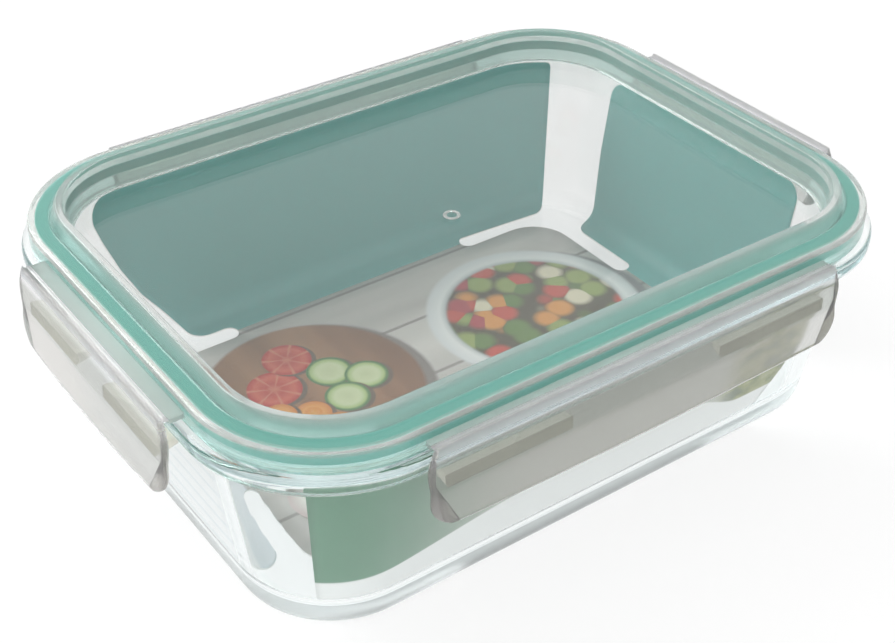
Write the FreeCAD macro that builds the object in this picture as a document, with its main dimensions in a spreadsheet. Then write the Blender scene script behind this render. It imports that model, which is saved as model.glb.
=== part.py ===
import FreeCAD, Part
import math
import os
import re
import Sketcher

# A rectangular glass food box with a snap lid, a seal ring and a folded card insert.
# Millimetres, +Z up. The origin is the middle of the base, on the table; +X runs along the long side.
# Every outline in plan is the glass rim's outline moved inwards by an inset, so most pieces are a
# section, given as (inset, height), carried around that outline.

SIZES = (
    ("rim_length", 228.0, "glass rim, long way"),
    ("rim_width", 173.5, "glass rim, short way"),
    ("rim_corner", 42.0, "corner radius of the rim in plan"),
    ("rim_under", 58.0, "underside of the rim above the table"),
    ("rim_thick", 5.0, "height of the rim's edge"),
    ("rim_edge", 1.8, "rounding of the rim's edges"),
    ("rim_overhang", 5.2, "rim beyond the wall under it"),
    ("lip_rise", 2.0, "sealing lip above the rim"),
    ("lip_wall", 4.2, "width of the sealing lip"),
    ("lip_edge", 1.0, "rounding of the sealing lip"),
    ("base_inset", 13.6, "foot of the wall inside the rim's edge"),
    ("base_edge", 7.0, "outer rounding under the wall"),
    ("floor_thick", 5.0, "glass floor"),
    ("wall_foot", 4.0, "wall thickness at the floor"),
    ("inner_fillet", 11.0, "rounding between wall and floor inside"),
    ("lip_clearance", 0.6, "sealing lip to the lid's skirt and leg"),
    ("skirt_thick", 2.0, "lid skirt"),
    ("skirt_gap", 0.4, "skirt above the glass rim"),
    ("seal_gap", 0.1, "seal above the sealing lip"),
    ("seal_height", 3.7, "seal ring"),
    ("seal_play", 0.2, "seal to the sides of its channel"),
    ("seal_edge", 0.8, "rounding of the seal"),
    ("lid_wall", 1.2, "lid above the seal channel"),
    ("shoulder_edge", 1.2, "rounding of the lid's shoulder"),
    ("rib_foot", 1.4, "stacking rib's foot outside the leg"),
    ("rib_slope", 2.6, "run of the rib's outer slope"),
    ("rib_top", 2.1, "flat on top of the rib"),
    ("rib_rise", 3.7, "rib above the shoulder"),
    ("rib_edge", 0.7, "rounding of the rib"),
    ("recess_depth", 10.3, "centre panel below the rib"),
    ("recess_draft", 1.7, "run of the recess wall"),
    ("panel_thick", 1.8, "centre panel"),
    ("panel_lap", 1.0, "centre panel carried into the rib"),
    ("leg_draft", 0.6, "run of the leg's outer face"),
    ("hinge_rise", 3.5, "hinge line above the glass rim"),
    ("side_hinge_out", 0.3, "hinge line of a long flap beyond the rim"),
    ("end_hinge_out", 2.3, "hinge line of a short flap beyond the rim"),
    ("side_flap_length", 143.0, "long flap"),
    ("end_flap_length", 88.0, "short flap"),
    ("film_width", 1.2, "film hinge, from ledge to flap"),
    ("film_thick", 0.5, "film hinge"),
    ("ledge_thick", 1.6, "lid ledge that carries a film hinge"),
    ("ledge_lap", 0.8, "ledge carried into the skirt"),
    ("plate_thick", 1.8, "flap plate"),
    ("top_angle", 30.0, "turn of the flap's rounded top, degrees"),
    ("top_land", 0.6, "flap's flat below the film"),
    ("fold_drop", 14.5, "fold line below the hinge"),
    ("flap_lean", 1.2, "fold line outside the flap's top"),
    ("flap_taper", 2.5, "flap's ends drawn in at the hinge"),
    ("finger_drop", 9.0, "finger lip below the fold line"),
    ("finger_flare", 1.9, "finger lip outside the fold line"),
    ("finger_thick", 1.5, "finger lip"),
    ("finger_bow", 1.5, "finger lip's bow in plan"),
    ("finger_corner", 7.0, "corner radius of the finger lip"),
    ("hook_gap", 0.3, "hook below the rim"),
    ("hook_height", 4.5, "hook on the flap's inner face"),
    ("hook_reach", 2.2, "hook under the rim"),
    ("hook_tip", 2.0, "height of the hook's tip"),
    ("hook_slope", 0.5, "fall of the hook's top towards its tip"),
    ("side_hook_start", 26.0, "long flap's hooks, from the middle"),
    ("side_hook_end", 66.0, "long flap's hooks, to the ends"),
    ("end_hook_start", 8.0, "short flap's hooks, from the middle"),
    ("end_hook_end", 38.0, "short flap's hooks, to the ends"),
    ("card_thick", 0.5, "card"),
    ("card_gap", 0.3, "card to the glass wall"),
    ("card_height", 54.2, "card walls above the glass floor"),
    ("card_bend", 12.5, "bend between card floor and card wall"),
    ("side_crease", 98.0, "crease along a long side"),
    ("end_crease", 26.0, "crease along a short side"),
    ("slot_width", 6.0, "slots beyond the creases"),
    ("card_corner", 14.0, "corner radius of the card floor"),
    ("side_panel_turn", 34.0, "turn of a long card wall into the corners, degrees"),
    ("end_panel_width", 89.0, "short card wall"),
)

# Heights and insets that follow from the sizes.
RIM_TOP = "(rim_under + rim_thick)"
LIP_TOP = f"({RIM_TOP} + lip_rise)"
FLOOR_JOIN = "(base_inset + wall_foot + inner_fillet)"
SKIRT_IN = "(rim_overhang - lip_clearance)"
SKIRT_OUT = f"({SKIRT_IN} - skirt_thick)"
SKIRT_UNDER = f"({RIM_TOP} + skirt_gap)"
SEAL_UNDER = f"({LIP_TOP} + seal_gap)"
CEILING = f"({SEAL_UNDER} + seal_height)"
SHOULDER = f"({CEILING} + lid_wall)"
RIB_TOP = f"({SHOULDER} + rib_rise)"
PANEL_TOP = f"({RIB_TOP} - recess_depth)"
PANEL_UNDER = f"({PANEL_TOP} - panel_thick)"
LEG_OUT = "(rim_overhang + lip_wall + lip_clearance)"
RIB_START = f"({LEG_OUT} - rib_foot)"
RIB_OUT = f"({RIB_START} + rib_slope)"
RIB_IN = f"({RIB_OUT} + rib_top)"
RECESS = f"({RIB_IN} + recess_draft)"
HINGE_HEIGHT = f"({RIM_TOP} + hinge_rise)"
CARD_WALL = "(base_inset + wall_foot + card_gap)"
CREASE = f"({CARD_WALL} + card_bend)"
WALL_SLOPE = f"((base_inset + wall_foot - rim_overhang - lip_wall) / ({LIP_TOP} - floor_thick))"

doc = FreeCAD.newDocument("GlassBox")
sheet = doc.addObject("Spreadsheet::Sheet", "Sizes")
for row, (alias, size, meaning) in enumerate(SIZES, start=1):
    sheet.set(f"A{row}", meaning)
    sheet.set(f"B{row}", str(size))
    sheet.setAlias(f"B{row}", alias)
doc.recompute()

ALIASES = re.compile(r"\b(" + "|".join(alias for alias, size, meaning in SIZES) + r")\b")


def bound(expression):
    """The expression with each size pointing at its cell."""
    return ALIASES.sub(r"Sizes.\1", expression)


def value(expression):
    return float(sheet.evalExpression(bound(expression)))


def origin_plane(body, role):
    return next(feature for feature in body.Origin.OriginFeatures if feature.Role == role)


def new_body(name):
    body = doc.addObject("PartDesign::Body", name)
    body.Label = name
    return body


def new_sketch(body, name, role, offset=None):
    """A sketch on one of the body's own planes, moved along its normal where an offset is given."""
    sketch = body.newObject("Sketcher::SketchObject", name)
    sketch.AttachmentSupport = [(origin_plane(body, role), "")]
    sketch.MapMode = "FlatFace"
    if offset is not None:
        sketch.setExpression("AttachmentOffset.Base.z", bound(offset))
    return sketch


def constrain(sketch, expression, kind, *target):
    index = sketch.addConstraint(Sketcher.Constraint(kind, *target, value(expression)))
    sketch.setExpression(f"Constraints[{index}]", bound(expression))


def place(sketch, geometry, end, corner):
    """Holds a point at the corner's two coordinates."""
    for kind, expression in zip(("DistanceX", "DistanceY"), corner):
        constrain(sketch, expression, kind, -1, 1, geometry, end)


def arc_between(centre, start, end, turns_left):
    """A circular arc from start to end; a sketch keeps arcs anticlockwise, so the ends may swap."""
    first, last = (start, end) if turns_left else (end, start)
    angles = [math.atan2(point.y - centre.y, point.x - centre.x) for point in (first, last)]
    circle = Part.Circle(centre, FreeCAD.Vector(0, 0, 1), (start - centre).Length)
    return Part.ArcOfCircle(circle, angles[0], angles[1])


def rounded_corner(before, here, after, radius):
    """Start, end, centre and sense of the arc that rounds a corner."""
    back = (before - here).normalize()
    ahead = (after - here).normalize()
    half = back.getAngle(ahead) / 2
    reach = radius / math.tan(half)
    centre = here + (back + ahead).normalize() * (radius / math.sin(half))
    return here + back * reach, here + ahead * reach, centre, back.cross(ahead).z < 0


def draw_loop(sketch, corners):
    """Draws a closed outline through corners (x, y), (x, y, radius) or (x, y, None, arc_radius).

    A radius rounds its corner. An arc_radius makes the edge to the next corner an arc about the
    sketch's left-hand side: negative where the arc bulges to the right of the way it is drawn.
    """
    count = len(corners)
    spots = [FreeCAD.Vector(value(corner[0]), value(corner[1]), 0) for corner in corners]
    radii = [corner[2] if len(corner) > 2 else None for corner in corners]
    bulges = [corner[3] if len(corner) > 3 else None for corner in corners]
    starts = list(spots)
    ends = list(spots)
    arcs = {}
    for k in range(count):
        if radii[k] is not None:
            starts[k], ends[k], centre, left = rounded_corner(
                spots[k - 1], spots[k], spots[(k + 1) % count], value(radii[k]))
            arcs[k] = (sketch.addGeometry(arc_between(centre, starts[k], ends[k], left)), left)
    edges = []
    for k in range(count):
        here, there = ends[k], starts[(k + 1) % count]
        if bulges[k] is None:
            edges.append((sketch.addGeometry(Part.LineSegment(here, there)), 1, 2))
            continue
        radius = value(bulges[k])
        middle, across = (here + there) / 2, there - here
        side = FreeCAD.Vector(-across.y, across.x, 0).normalize() * math.copysign(1, radius)
        centre = middle + side * math.sqrt(radius ** 2 - (across.Length / 2) ** 2)
        left = radius > 0
        arc = sketch.addGeometry(arc_between(centre, here, there, left))
        constrain(sketch, f"abs({bulges[k]})", "Radius", arc)
        edges.append((arc, 1, 2) if left else (arc, 2, 1))
    for k in range(count):
        arriving, leaving = edges[k - 1], edges[k]
        if radii[k] is None:
            sketch.addConstraint(Sketcher.Constraint("Coincident", arriving[0], arriving[2],
                                                     leaving[0], leaving[1]))
            place(sketch, leaving[0], leaving[1], corners[k][:2])
            continue
        arc, left = arcs[k]
        arc_start, arc_end = (1, 2) if left else (2, 1)
        sketch.addConstraint(Sketcher.Constraint("Tangent", arriving[0], arriving[2], arc, arc_start))
        sketch.addConstraint(Sketcher.Constraint("Tangent", arc, arc_end, leaving[0], leaving[1]))
        constrain(sketch, radii[k], "Radius", arc)
        point = sketch.addGeometry(Part.Point(spots[k]), True)
        sketch.addConstraint(Sketcher.Constraint("PointOnObject", point, 1, arriving[0]))
        sketch.addConstraint(Sketcher.Constraint("PointOnObject", point, 1, leaving[0]))
        place(sketch, point, 1, corners[k][:2])


def box_outline(half_length, half_width, radius=None):
    """A rectangle about the origin, anticlockwise from the right-hand lower corner."""
    return [(f"{sx}({half_length})", f"{sy}({half_width})", radius)
            for sx, sy in (("", "-"), ("", ""), ("-", ""), ("-", "-"))]


def inset_outline(inset):
    """The rim's outline moved inwards."""
    return box_outline(f"rim_length / 2 - {inset}", f"rim_width / 2 - {inset}", f"rim_corner - {inset}")


def pad(body, name, sketch, length, symmetric=False):
    feature = body.newObject("PartDesign::Pad", name)
    feature.Profile = sketch
    feature.SideType = "Symmetric" if symmetric else "One side"
    feature.setExpression("Length", bound(length))
    doc.recompute()
    return feature


def ring(body, section):
    """Carries a section of corners (inset, height, radius) once around the rim's outline."""
    path = new_sketch(body, body.Name + "_path", "XY_Plane")
    draw_loop(path, [("rim_length / 2", "0")] + inset_outline("0")[1:] + inset_outline("0")[:1])
    profile = new_sketch(body, body.Name + "_section", "XZ_Plane")
    draw_loop(profile, [(f"rim_length / 2 - {corner[0]}",) + corner[1:] for corner in section])
    pipe = body.newObject("PartDesign::AdditivePipe", body.Name + "_ring")
    pipe.Profile = profile
    pipe.Spine = (path, [])
    doc.recompute()


def keep_inside(body, name, role, outline):
    """Cuts away all of the body that lies outside an outline, right through along the plane's normal."""
    sketch = new_sketch(body, name + "_outline", role)
    draw_loop(sketch, box_outline("rim_length", "rim_length"))
    draw_loop(sketch, outline)
    pocket = body.newObject("PartDesign::Pocket", name)
    pocket.Profile = sketch
    pocket.Type = "ThroughAll"
    pocket.SideType = "Symmetric"
    doc.recompute()


def make_glass_tray():
    body = new_body("glass_tray")
    ring(body, [
        (FLOOR_JOIN, "0"),
        (FLOOR_JOIN, "floor_thick"),
        ("(base_inset + wall_foot)", "floor_thick", "inner_fillet"),
        ("(rim_overhang + lip_wall)", LIP_TOP, "lip_edge"),
        ("rim_overhang", LIP_TOP, "lip_edge"),
        ("rim_overhang", RIM_TOP),
        ("0", RIM_TOP, "rim_edge"),
        ("0", "rim_under", "rim_edge"),
        ("rim_overhang", "rim_under"),
        ("base_inset", "0", "base_edge"),
    ])
    floor = new_sketch(body, "glass_floor_outline", "XY_Plane")
    draw_loop(floor, inset_outline("(base_inset + base_edge)"))
    pad(body, "glass_floor", floor, "floor_thick")
    return body


def make_lid():
    """Skirt, seal channel and stacking rib in one ring, the centre panel, and the hinge ledges."""
    body = new_body("lid")
    ring(body, [
        (SKIRT_OUT, SKIRT_UNDER),
        (SKIRT_IN, SKIRT_UNDER),
        (SKIRT_IN, CEILING),
        (LEG_OUT, CEILING),
        (f"({LEG_OUT} + leg_draft)", PANEL_UNDER),
        (RECESS, PANEL_UNDER),
        (RECESS, PANEL_TOP),
        (RIB_IN, RIB_TOP, "rib_edge"),
        (RIB_OUT, RIB_TOP, "rib_edge"),
        (RIB_START, SHOULDER),
        (SKIRT_OUT, SHOULDER, "shoulder_edge"),
    ])
    panel = new_sketch(body, "panel_outline", "XY_Plane", PANEL_UNDER)
    draw_loop(panel, inset_outline(f"({RECESS} - panel_lap)"))
    pad(body, "panel", panel, "panel_thick")
    top = f"{HINGE_HEIGHT} + film_thick / 2"
    for side, role, half, hinge_out, length in FLAP_SIDES:
        sign = "-" if side in ("front", "left") else ""
        near = f"{sign}({half} - {SKIRT_OUT} - ledge_lap)"
        far = f"{sign}({half} + {hinge_out} - film_width / 2)"
        ledge = new_sketch(body, f"ledge_{side}_section", role)
        under = f"{top} - ledge_thick"
        draw_loop(ledge, [(near, under), (far, under), (far, top), (near, top)])
        pad(body, f"ledge_{side}", ledge, f"{length} - 2 * flap_taper", symmetric=True)
    return body


def make_seal_ring():
    body = new_body("seal_ring")
    outer = f"({SKIRT_IN} + seal_play)"
    inner = f"({LEG_OUT} - seal_play)"
    ring(body, [
        (outer, SEAL_UNDER, "seal_edge"),
        (inner, SEAL_UNDER, "seal_edge"),
        (inner, CEILING),
        (outer, CEILING),
    ])
    return body


# Each flap: where it hangs, the plane across its hinge, half the rim that way, its hinge and its length.
FLAP_SIDES = (
    ("front", "YZ_Plane", "rim_width / 2", "side_hinge_out", "side_flap_length"),
    ("back", "YZ_Plane", "rim_width / 2", "side_hinge_out", "side_flap_length"),
    ("left", "XZ_Plane", "rim_length / 2", "end_hinge_out", "end_flap_length"),
    ("right", "XZ_Plane", "rim_length / 2", "end_hinge_out", "end_flap_length"),
)


def hang(body, side, half, hinge_out):
    """Puts a flap, drawn about its own hinge line, at its side of the lid, its own +Y facing outwards."""
    sign = "-" if side in ("front", "left") else ""
    axis = "y" if side in ("front", "back") else "x"
    outward = FreeCAD.Vector()
    setattr(outward, axis, value(f"{sign}({half})"))
    turn = math.degrees(math.atan2(-outward.x, outward.y))
    body.Placement = FreeCAD.Placement(FreeCAD.Vector(), FreeCAD.Rotation(FreeCAD.Vector(0, 0, 1), turn))
    body.setExpression(f"Placement.Base.{axis}", bound(f"{sign}({half} + {hinge_out})"))
    body.setExpression("Placement.Base.z", bound(HINGE_HEIGHT))


def make_flap(side, role, half, hinge_out, length):
    """A plate with a rounded top about the hinge line, a flared finger lip and two hooks.

    It is drawn with the hinge line along its own X, outwards along +Y and up along +Z.
    """
    body = new_body(f"flap_{side}")
    top_radius = "(film_width / 2 + plate_thick)"
    fold_out = f"({top_radius} + flap_lean)"
    tip_out = f"({fold_out} + finger_flare)"
    tip_drop = "(fold_drop + finger_drop)"
    section = new_sketch(body, f"flap_{side}_section", "YZ_Plane")
    draw_loop(section, [
        ("film_width / 2", "film_thick / 2"),
        ("film_width / 2", "-top_land"),
        (f"{fold_out} - plate_thick", "-fold_drop"),
        (f"{tip_out} - finger_thick", f"-{tip_drop}"),
        (tip_out, f"-{tip_drop}"),
        (fold_out, "-fold_drop"),
        (top_radius, "0", None, top_radius),
        (f"{top_radius} * cos(top_angle)", f"{top_radius} * sin(top_angle)"),
    ])
    pad(body, f"flap_{side}_plate", section, length, symmetric=True)
    half_chord = f"({length} / 2 + finger_bow)"
    bow_radius = f"(({half_chord} ^ 2 + finger_bow ^ 2) / (2 * finger_bow))"
    keep_inside(body, f"flap_{side}_bow", "XY_Plane", [
        (half_chord, "-rim_corner"),
        (half_chord, f"{tip_out} - finger_bow", None, bow_radius),
        (f"-{half_chord}", f"{tip_out} - finger_bow"),
        (f"-{half_chord}", "-rim_corner"),
    ])
    keep_inside(body, f"flap_{side}_corners", "XZ_Plane", [
        (f"-{length} / 2", "-" + tip_drop, "finger_corner"),
        (f"{length} / 2", "-" + tip_drop, "finger_corner"),
        (f"{length} / 2", "-fold_drop"),
        (f"({length} / 2 - flap_taper)", "0"),
        (f"({length} / 2 - flap_taper)", "rim_corner"),
        (f"-({length} / 2 - flap_taper)", "rim_corner"),
        (f"-({length} / 2 - flap_taper)", "0"),
        (f"-{length} / 2", "-fold_drop"),
    ])
    add_hooks(body, side, hinge_out, "side" if side in ("front", "back") else "end")
    hang(body, side, half, hinge_out)
    return body


def add_hooks(body, side, hinge_out, kind):
    """Two hooks on the plate's inner face that reach under the glass rim."""
    hook_top = "(hinge_rise + rim_thick + hook_gap)"
    hook_root = f"(film_width / 2 + flap_lean * {hook_top} / fold_drop + plate_thick / 2)"
    tip = f"-(hook_reach + {hinge_out})"
    start, end = f"{kind}_hook_start", f"{kind}_hook_end"
    for name, from_middle in (("a", start), ("b", f"-{end}")):
        sketch = new_sketch(body, f"flap_{side}_hook_{name}_section", "YZ_Plane", from_middle)
        draw_loop(sketch, [
            (hook_root, f"-{hook_top}"),
            (tip, f"-{hook_top} - hook_slope"),
            (tip, f"-{hook_top} - hook_slope - hook_tip"),
            (hook_root, f"-{hook_top} - hook_height"),
        ])
        pad(body, f"flap_{side}_hook_{name}", sketch, f"{end} - {start}")


def make_hinge_film(side, role, half, hinge_out, length):
    """The thin web between a lid ledge and its flap."""
    film = doc.addObject("Part::Box", f"hinge_film_{side}")
    film.Label = film.Name
    sign = "-" if side in ("front", "left") else ""
    along, across = ("x", "y") if side in ("front", "back") else ("y", "x")
    film_length = f"({length} - 2 * flap_taper)"
    sizes = {along: film_length, across: "film_width"}
    film.setExpression("Length", bound(sizes["x"]))
    film.setExpression("Width", bound(sizes["y"]))
    film.setExpression("Height", bound("film_thick"))
    film.setExpression(f"Placement.Base.{along}", bound(f"-{film_length} / 2"))
    film.setExpression(f"Placement.Base.{across}", bound(f"{sign}({half} + {hinge_out}) - film_width / 2"))
    film.setExpression("Placement.Base.z", bound(f"{HINGE_HEIGHT} - film_thick / 2"))
    return film


def make_card_floor():
    """The card's floor panel: full width along the creases, drawn in by half a slot beyond them."""
    body = new_body("card_floor")
    long_edge, short_edge = f"(rim_length / 2 - {CREASE})", f"(rim_width / 2 - {CREASE})"
    slot = "slot_width / 2"
    quarter = [
        (long_edge, "end_crease / 2"),
        (f"({long_edge} - {slot})", "end_crease / 2"),
        (f"({long_edge} - {slot})", f"({short_edge} - {slot})", "card_corner"),
        ("side_crease / 2", f"({short_edge} - {slot})"),
        ("side_crease / 2", short_edge),
    ]
    outline = []
    for sx, sy in (("", ""), ("-", ""), ("-", "-"), ("", "-")):
        turned = [(sx + corner[0], sy + corner[1]) + corner[2:] for corner in quarter]
        outline += turned if sx == sy else turned[::-1]
    sketch = new_sketch(body, "card_floor_outline", "XY_Plane", "floor_thick")
    draw_loop(sketch, outline)
    pad(body, "card_floor_sheet", sketch, "card_thick")
    return body


def make_card_wall(name, window):
    """A card wall that bends up from the floor and leans on the glass, kept inside a window in plan."""
    body = new_body(name)
    top = "(floor_thick + card_height)"
    lean = f"({WALL_SLOPE} * card_height)"
    bend_inside = "(card_bend - card_thick)"
    ring(body, [
        (CREASE, "floor_thick"),
        (CREASE, "floor_thick + card_thick"),
        (f"({CARD_WALL} + card_thick)", "floor_thick + card_thick", bend_inside),
        (f"({CARD_WALL} + card_thick - {lean})", top),
        (f"({CARD_WALL} - {lean})", top),
        (CARD_WALL, "floor_thick", "card_bend"),
    ])
    keep_inside(body, name + "_cut", "XY_Plane", window)
    return body


def side_window(sign):
    """What a long card wall keeps: its crease, half a slot beyond that, and a turn into each corner."""
    crease_y = f"(rim_width / 2 - {CREASE})"
    slot_y = f"({crease_y} + slot_width / 2)"
    centre_x, centre_y = "(rim_length / 2 - rim_corner)", "(rim_width / 2 - rim_corner)"
    slot_x = f"({centre_x} + ({slot_y} - {centre_y}) * tan(side_panel_turn))"
    far_x = f"({centre_x} + 2 * rim_corner * sin(side_panel_turn))"
    far_y = f"({centre_y} + 2 * rim_corner * cos(side_panel_turn))"
    half = [("side_crease / 2", crease_y), ("side_crease / 2", slot_y), (slot_x, slot_y), (far_x, far_y)]
    right = [(x, sign + y) for x, y in half]
    left = [("-" + x, sign + y) for x, y in half[::-1]]
    return right + left


def end_window(sign):
    """What a short card wall keeps: its crease, and half a slot beyond that up to its ends."""
    crease_x = f"(rim_length / 2 - {CREASE})"
    slot_x = f"({crease_x} + slot_width / 2)"
    half = [(crease_x, "end_crease / 2"), (slot_x, "end_crease / 2"),
            (slot_x, "end_panel_width / 2"), ("rim_length", "end_panel_width / 2")]
    upper = [(sign + x, y) for x, y in half]
    lower = [(sign + x, "-" + y) for x, y in half[::-1]]
    return upper + lower


parts = [make_glass_tray(), make_lid(), make_seal_ring()]
parts += [make_flap(*side) for side in FLAP_SIDES]
parts += [make_hinge_film(*side) for side in FLAP_SIDES]
parts += [make_card_floor()]
parts += [make_card_wall("card_front", side_window("-")), make_card_wall("card_back", side_window(""))]
parts += [make_card_wall("card_left", end_window("-")), make_card_wall("card_right", end_window(""))]
doc.recompute()

for item in doc.Objects:
    if "Invalid" in item.State or "Error" in item.State:
        raise RuntimeError(f"{item.Label} failed: {item.State}")
for item in parts:
    if item.Shape.isNull() or not item.Shape.isValid():
        raise RuntimeError(f"{item.Label} has no valid shape")

os.makedirs("parts", exist_ok=True)
for item in parts:
    item.Shape.exportStep(f"parts/{item.Label}.step")
    size = item.Shape.BoundBox
    print(f"{item.Label}: {len(item.Shape.Solids)} solid, {item.Shape.Volume / 1000:.2f} cm3, "
          f"{size.XLength:.1f} x {size.YLength:.1f} x {size.ZLength:.1f} mm")
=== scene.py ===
# %% [markdown]
# # A glass food box with a snap lid
# The box is a pressed glass tray, a see-through moulded lid with four locking flaps, a teal silicone
# seal and a folded card insert. The CAD model fixes where everything is and how it moves. This lesson
# puts smooth surfaces and real finishes in the same places.

import math

import bmesh
import bpy
import numpy as np
from mathutils import Matrix, Vector


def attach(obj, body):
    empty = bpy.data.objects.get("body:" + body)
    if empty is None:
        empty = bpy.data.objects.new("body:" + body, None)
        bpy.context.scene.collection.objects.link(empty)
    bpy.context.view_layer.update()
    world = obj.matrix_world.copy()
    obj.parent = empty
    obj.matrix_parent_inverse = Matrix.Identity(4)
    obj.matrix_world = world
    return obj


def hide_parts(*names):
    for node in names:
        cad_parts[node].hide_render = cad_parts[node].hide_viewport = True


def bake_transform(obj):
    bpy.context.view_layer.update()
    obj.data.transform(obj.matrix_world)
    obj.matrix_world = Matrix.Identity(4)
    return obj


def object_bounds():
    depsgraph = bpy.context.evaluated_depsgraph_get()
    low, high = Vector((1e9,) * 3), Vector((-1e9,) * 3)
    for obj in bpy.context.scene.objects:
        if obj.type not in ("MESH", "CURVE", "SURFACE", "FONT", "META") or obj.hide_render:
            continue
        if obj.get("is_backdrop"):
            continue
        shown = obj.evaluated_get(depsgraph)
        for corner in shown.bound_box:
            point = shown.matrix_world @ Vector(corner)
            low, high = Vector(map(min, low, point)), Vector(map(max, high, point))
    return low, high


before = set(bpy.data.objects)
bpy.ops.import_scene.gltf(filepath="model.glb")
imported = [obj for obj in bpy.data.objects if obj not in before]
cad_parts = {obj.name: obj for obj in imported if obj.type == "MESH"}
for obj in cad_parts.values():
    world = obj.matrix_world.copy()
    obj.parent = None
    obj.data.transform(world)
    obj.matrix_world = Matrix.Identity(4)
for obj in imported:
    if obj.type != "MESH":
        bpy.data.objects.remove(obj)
cad_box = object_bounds()
MM = 0.001

# %% [markdown]
# ## One outline for everything
# Seen from above, the glass rim, the lid, the seal and the card walls are all the same rounded
# rectangle, moved inwards by some inset. A rounded rectangle is the outline of a smaller rectangle, its
# core, pushed out along the outline's own normal. With the core points and normals in two arrays,
# any inset is one line of arithmetic, and rings of different insets line up point by point.

# %% The rim's outline
RIM_HALF = np.array([114.0, 86.75])
RIM_CORNER = 42.0
CORE_HALF = RIM_HALF - RIM_CORNER


def outline_stations(straight=12, turn=20):
    """Core points and unit normals, anticlockwise from the middle of the right-hand side.

    The first quarter is half a straight side, a quarter turn about the core's corner and half of the
    next side. It is mirrored to the left, and the half that this makes is mirrored down.
    """
    up, left = np.linspace(0, 1, straight, endpoint=False), np.linspace(1, 0, straight, endpoint=False)[1:]
    angle = np.linspace(0, np.pi / 2, turn + 1)
    core = np.concatenate([
        np.stack([np.ones(straight), up], 1), np.ones((turn + 1, 2)), np.stack([left, np.ones(len(left))], 1)])
    normal = np.concatenate([
        np.tile([1.0, 0.0], (straight, 1)), np.stack([np.cos(angle), np.sin(angle)], 1),
        np.tile([0.0, 1.0], (len(left), 1))])
    line = np.stack([core, normal], 1)
    for end, mirror in (((0.0, 1.0), (-1.0, 1.0)), ((-1.0, 0.0), (1.0, -1.0))):
        line = np.concatenate([line, [[end, end]]])
        line = np.concatenate([line, line[-2:0:-1] * mirror])
    return line[:, 0] * CORE_HALF, line[:, 1]


CORE, NORMAL = outline_stations()
print("outline stations:", len(CORE))

# %% [markdown]
# A grid is an array of points in rows and columns. It carries a section around the outline, fills an area with
# smaller copies of it, or spins a section about the upright axis for the few round things.

# %% Grids
def raised(flat, height):
    """Flat points (rows, columns, 2) lifted to one height for each row, or one for all."""
    tall = np.broadcast_to(np.reshape(height, (-1, 1, 1)), flat.shape[:2] + (1,))
    return np.concatenate([flat, tall], 2)


def ring_grid(section):
    """Carries a section of (inset, height) pairs around: point = core + (corner - inset) * normal."""
    inset, height = np.asarray(section, float).T
    return raised(CORE + (RIM_CORNER - inset)[:, None, None] * NORMAL, height)


def filled(edge, rings):
    """Smaller copies of an outline around the origin, from near the middle out to the outline itself."""
    return edge * np.linspace(0, 1, rings + 1)[1:, None, None]


def disc_grid(inset, height, rings):
    """Fills the outline at an inset: the outline's points times a share that grows to 1."""
    return raised(filled(CORE + (RIM_CORNER - inset) * NORMAL, rings), height)


def spin(section, count):
    """Turns a section of (radius, height) pairs about the upright axis, in equal steps of angle."""
    turn = np.linspace(0, 2 * np.pi, count, endpoint=False)
    radius, height = np.asarray(section, float).T[:, :, None]
    return np.stack([radius * np.cos(turn), radius * np.sin(turn),
                     np.broadcast_to(height, (len(height), count))], 2)


# %% [markdown]
# ## Rounded sections
# A moulded or pressed edge is never sharp: its small radius catches the light. A section is drawn as a
# few corners with radii and turned into a fine line of points. Extra points close to both ends of
# each arc keep the stretches between arcs flat when they are shaded smooth.

# %% Sections from corners
SIDE_SHARE = 0.47  # the most of a side that one corner may take up
HOLD, HOLD_SHARE = 0.25, 0.3  # an extra point's distance from its arc: in mm, and at most this share of the reach


def rounded_line(corners, closed=False, steps=6):
    """Points along corners (x, y, radius), each corner replaced by an arc tangent to both its sides."""
    spots = np.array([corner[:2] for corner in corners], float)
    count = len(spots)
    line = []
    for k, here in enumerate(spots):
        if not closed and k in (0, count - 1):
            line.append(here[None])
            continue
        back, ahead = spots[k - 1] - here, spots[(k + 1) % count] - here
        lengths = np.linalg.norm(back), np.linalg.norm(ahead)
        back, ahead = back / lengths[0], ahead / lengths[1]
        half = math.acos(np.clip(back @ ahead, -1, 1)) / 2
        reach = min(corners[k][2] / math.tan(half), SIDE_SHARE * min(lengths))
        arc_radius = reach * math.tan(half)
        centre = here + (back + ahead) / np.linalg.norm(back + ahead) * arc_radius / math.sin(half)
        first, last = here + back * reach - centre, here + ahead * reach - centre
        share = np.linspace(0, 1, steps + 1)[:, None]
        sweep = math.pi - 2 * half
        arc = np.sin((1 - share) * sweep) * first + np.sin(share * sweep) * last
        arc = centre + arc / math.sin(sweep)
        hold = min(HOLD, HOLD_SHARE * reach)
        line.append(np.concatenate([[arc[0] + back * hold], arc, [arc[-1] + ahead * hold]]))
    return np.concatenate(line)


# %% [markdown]
# ## From grids to pieces
# A mesh joins each point of a grid to its neighbours in the row and in the next row. Every piece is closed
# and faces outwards, as glass has to. Most pieces move with a body; a CAD node that one stands for is hidden.

# %% Meshes
def mesh_object(name, points, faces):
    """A smooth-shaded object from points in mm and faces, at the origin."""
    mesh = bpy.data.meshes.new(name)
    mesh.from_pydata(np.asarray(points) * MM, [], faces)
    mesh.update()
    mesh.shade_smooth()
    piece = bpy.data.objects.new(name, mesh)
    bpy.context.scene.collection.objects.link(piece)
    return piece


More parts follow.
